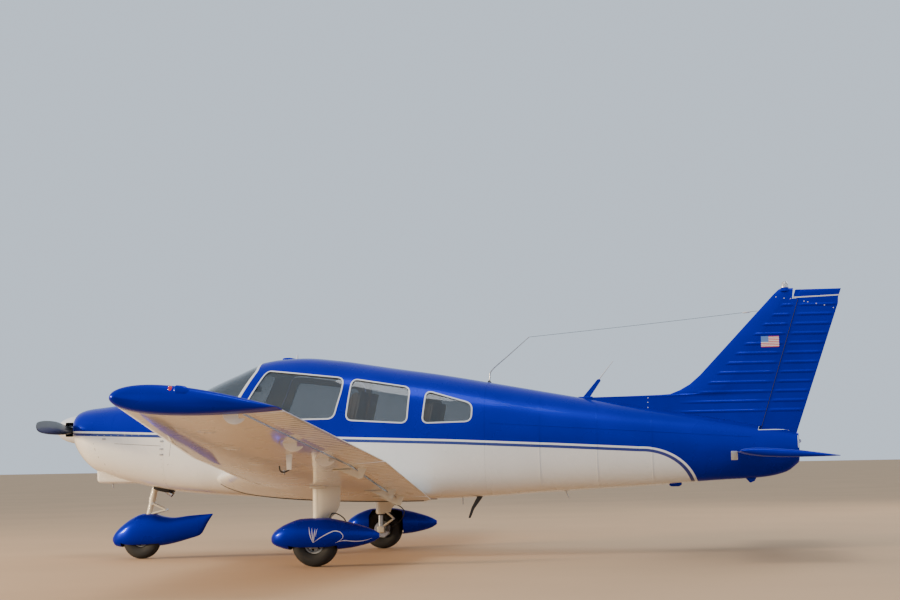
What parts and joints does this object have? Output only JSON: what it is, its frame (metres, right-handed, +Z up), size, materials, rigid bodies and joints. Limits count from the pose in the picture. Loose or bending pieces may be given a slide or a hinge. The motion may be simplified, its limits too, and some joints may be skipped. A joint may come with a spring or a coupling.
{
  "type": "light aircraft",
  "caption": "Single-engine low-wing light aircraft on fixed nose-wheel gear with wheel fairings, cabin door, flaps, ailerons, rudder and all-moving tailplane.",
  "frame": {"origin": "on the ground under the middle of the aircraft's length, on its centre line, which is the bottom centre of the parked aircraft's box", "axes": "+X runs aft, +Y to the right wing tip, +Z up; the aircraft stands parked on its three wheels at Z = 0"},
  "size_m": [7.2476, 10.668, 2.3926],
  "materials": {
    "blue_paint": "deep gloss",
    "white_paint": "gloss",
    "cream_paint": "satin",
    "black_paint": "matt",
    "engine_metal": "cast",
    "bare_metal": "brushed",
    "wheel_metal": "cast and painted grey",
    "tyre_rubber": "matt",
    "clear_glazing": "clear",
    "black_plastic": "grained",
    "cabin_trim": "carpet and trim cloth",
    "seat_cloth": "woven cloth"
  },
  "bodies": {
    "airframe": {"cowl_upper": "blue_paint", "cowl_lower": "white_paint", "engine": "engine_metal", "firewall": "bare_metal", "cabin_roof": "blue_paint", "cabin_side_left": "blue_paint", "cabin_side_right": "blue_paint", "windshield_pillar_right": "blue_paint", "baggage_side_right": "blue_paint", "cabin_belly": "white_paint", "cabin_floor": "cabin_trim", "rear_bulkhead": "cabin_trim", "instrument_panel": "black_plastic", "front_seat_left": "seat_cloth", "front_seat_right": "seat_cloth", "rear_seat": "seat_cloth", "windshield_post": "white_paint", "windshield_left": "clear_glazing", "windshield_right": "clear_glazing", "window_left_front": "clear_glazing", "window_left_middle": "clear_glazing", "window_left_rear": "clear_glazing", "window_right_middle": "clear_glazing", "window_right_rear": "clear_glazing", "tail_cone": "blue_paint", "fin": "blue_paint", "beacon": "clear_glazing", "wing_left": "white_paint", "wing_right": "white_paint", "wingtip_left": "blue_paint", "wingtip_right": "blue_paint", "nose_leg_mount": "bare_metal", "left_leg": "cream_paint", "right_leg": "cream_paint", "left_wheel_fairing": "blue_paint", "right_wheel_fairing": "blue_paint"},
    "propeller": {"propeller": "black_paint", "spinner": "white_paint"},
    "nose_fork": {"nose_fork": "cream_paint", "nose_wheel_fairing": "blue_paint"},
    "nose_wheel": {"nose_tyre": "tyre_rubber", "nose_rim": "wheel_metal"},
    "left_wheel": {"left_tyre": "tyre_rubber", "left_rim": "wheel_metal"},
    "right_wheel": {"right_tyre": "tyre_rubber", "right_rim": "wheel_metal"},
    "rudder": {"rudder": "blue_paint"},
    "stabilator": {"stabilator": "blue_paint"},
    "stabilator_tab": {"stabilator_tab": "blue_paint"},
    "aileron_left": {"aileron_left": "white_paint"},
    "aileron_right": {"aileron_right": "white_paint"},
    "flap_left": {"flap_left": "white_paint"},
    "flap_right": {"flap_right": "white_paint"},
    "cabin_door": {"cabin_door": "blue_paint", "door_window": "clear_glazing"},
    "baggage_door": {"baggage_door": "blue_paint"}
  },
  "joints": [
    {"name": "propeller_spin", "type": "hinge", "parent": "airframe", "child": "propeller", "pos_m": [-3.456, 0, 1.203], "axis": [1, 0, 0], "continuous": true},
    {"name": "nose_steer", "type": "hinge", "parent": "airframe", "child": "nose_fork", "pos_m": [-2.774, 0, 0.236], "axis": [0.2365, 0, 0.9716], "range_deg": [-30, 30]},
    {"name": "nose_wheel_spin", "type": "hinge", "parent": "nose_fork", "child": "nose_wheel", "pos_m": [-2.8, 0, 0.175], "axis": [0, 1, 0], "continuous": true},
    {"name": "left_wheel_spin", "type": "hinge", "parent": "airframe", "child": "left_wheel", "pos_m": [-0.811, -1.525, 0.19], "axis": [0, 1, 0], "continuous": true},
    {"name": "right_wheel_spin", "type": "hinge", "parent": "airframe", "child": "right_wheel", "pos_m": [-0.811, 1.525, 0.19], "axis": [0, 1, 0], "continuous": true},
    {"name": "rudder_hinge", "type": "hinge", "parent": "airframe", "child": "rudder", "pos_m": [2.895, 0, 1.102], "axis": [0.3003, 0, 0.9538], "range_deg": [-27, 27]},
    {"name": "stabilator_hinge", "type": "hinge", "parent": "airframe", "child": "stabilator", "pos_m": [2.866, 0, 0.87627], "axis": [0, 1, 0], "range_deg": [-14, 2]},
    {"name": "tab_hinge", "type": "hinge", "parent": "stabilator", "child": "stabilator_tab", "pos_m": [3.312, 0, 0.84701], "axis": [0, 1, 0], "range_deg": [-11.2, 1.6]},
    {"name": "aileron_left_hinge", "type": "hinge", "parent": "airframe", "child": "aileron_left", "pos_m": [-0.399, -4.985, 1.17325], "axis": [0.0461, 0.9915, -0.1215], "range_deg": [-18.75, 18.75]},
    {"name": "aileron_right_hinge", "type": "hinge", "parent": "airframe", "child": "aileron_right", "pos_m": [-0.289, 2.62, 0.88352], "axis": [-0.0461, 0.9915, 0.1215], "range_deg": [-18.75, 18.75]},
    {"name": "flap_left_hinge", "type": "hinge", "parent": "airframe", "child": "flap_left", "pos_m": [-0.249, -2.365, 0.7411], "axis": [0, 0.989, -0.1479], "range_deg": [0, 40]},
    {"name": "flap_right_hinge", "type": "hinge", "parent": "airframe", "child": "flap_right", "pos_m": [-0.249, 0.7, 0.49217], "axis": [0, 0.989, 0.1479], "range_deg": [0, 40]},
    {"name": "cabin_door_hinge", "type": "hinge", "parent": "airframe", "child": "cabin_door", "pos_m": [-1.634, 0.552, 1.1], "axis": [0, 0, 1], "range_deg": [0, 80]},
    {"name": "baggage_door_hinge", "type": "hinge", "parent": "airframe", "child": "baggage_door", "pos_m": [-0.029, 0.527, 0.95], "axis": [0, 0, 1], "range_deg": [0, 90]}
  ],
  "couplings": [
    {"joint": "rudder_hinge", "follows": "nose_steer", "ratio": -0.9},
    {"joint": "tab_hinge", "follows": "stabilator_hinge", "ratio": 0.8},
    {"joint": "aileron_right_hinge", "follows": "aileron_left_hinge", "ratio": -1},
    {"joint": "flap_right_hinge", "follows": "flap_left_hinge", "ratio": 1}
  ]
}
